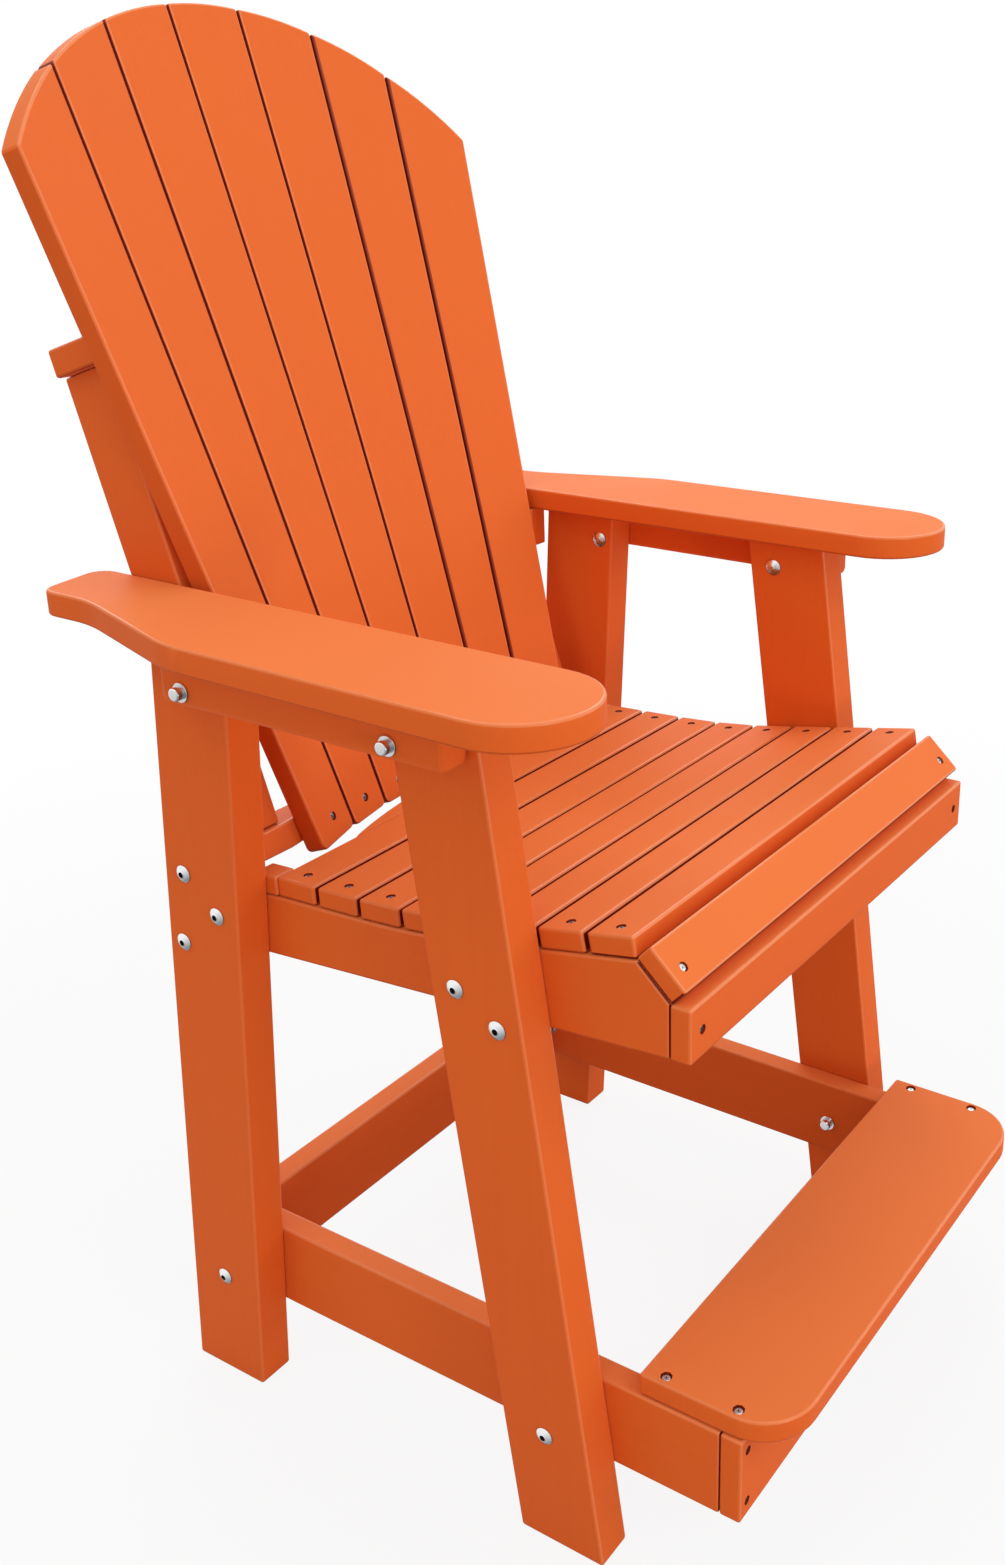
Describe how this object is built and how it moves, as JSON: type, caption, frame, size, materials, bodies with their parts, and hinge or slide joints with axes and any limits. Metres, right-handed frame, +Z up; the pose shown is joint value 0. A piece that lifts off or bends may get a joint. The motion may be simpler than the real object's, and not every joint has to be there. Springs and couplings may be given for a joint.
{
  "type": "counter chair",
  "caption": "Counter-height poly lumber armchair with a hollow fan back of tapered slats, a contoured slatted seat, raked legs, paddle-shaped arms and a footrest on low side rails",
  "frame": {"origin": "on the floor, under the middle of the chair's overall box", "axes": "+Z up, -Y the way the sitter faces, +X the sitter's left"},
  "size_m": [0.755, 0.8302, 1.3095],
  "materials": {
    "lumber": "orange recycled-plastic lumber, satin, through-coloured",
    "steel": "plain stainless fasteners"
  },
  "bodies": {
    "root": {"arm_cleat_left": "lumber", "arm_cleat_right": "lumber", "arm_left": "lumber", "arm_rail_left": "lumber", "arm_rail_right": "lumber", "arm_right": "lumber", "back_rail_lower": "lumber", "back_rail_upper": "lumber", "back_slat_1": "lumber", "back_slat_2": "lumber", "back_slat_3": "lumber", "back_slat_4": "lumber", "back_slat_5": "lumber", "back_slat_6": "lumber", "back_slat_7": "lumber", "back_upright_left": "lumber", "back_upright_right": "lumber", "bolt_arm_front_left": "steel", "bolt_arm_front_right": "steel", "bolt_arm_rear_left": "steel", "bolt_arm_rear_right": "steel", "bolt_back_left": "steel", "bolt_back_right": "steel", "bolt_foot_front_left": "steel", "bolt_foot_front_right": "steel", "bolt_foot_rear_left": "steel", "bolt_foot_rear_right": "steel", "bolt_seat_front_lower_left": "steel", "bolt_seat_front_lower_right": "steel", "bolt_seat_front_upper_left": "steel", "bolt_seat_front_upper_right": "steel", "bolt_seat_rear_lower_left": "steel", "bolt_seat_rear_lower_right": "steel", "bolt_seat_rear_upper_left": "steel", "bolt_seat_rear_upper_right": "steel", "foot_rail_left": "lumber", "foot_rail_right": "lumber", "footrest": "lumber", "footrest_apron": "lumber", "front_leg_left": "lumber", "front_leg_right": "lumber", "rail_block_left": "lumber", "rail_block_right": "lumber", "rear_leg_left": "lumber", "rear_leg_right": "lumber", "rear_stretcher": "lumber", "seat_apron": "lumber", "seat_infill": "lumber", "seat_nosing": "lumber", "seat_rail_left": "lumber", "seat_rail_right": "lumber", "seat_slat_1": "lumber", "seat_slat_2": "lumber", "seat_slat_3": "lumber", "seat_slat_4": "lumber", "seat_slat_5": "lumber", "seat_slat_6": "lumber", "seat_slat_7": "lumber", "seat_slat_8": "lumber"}
  },
  "joints": []
}
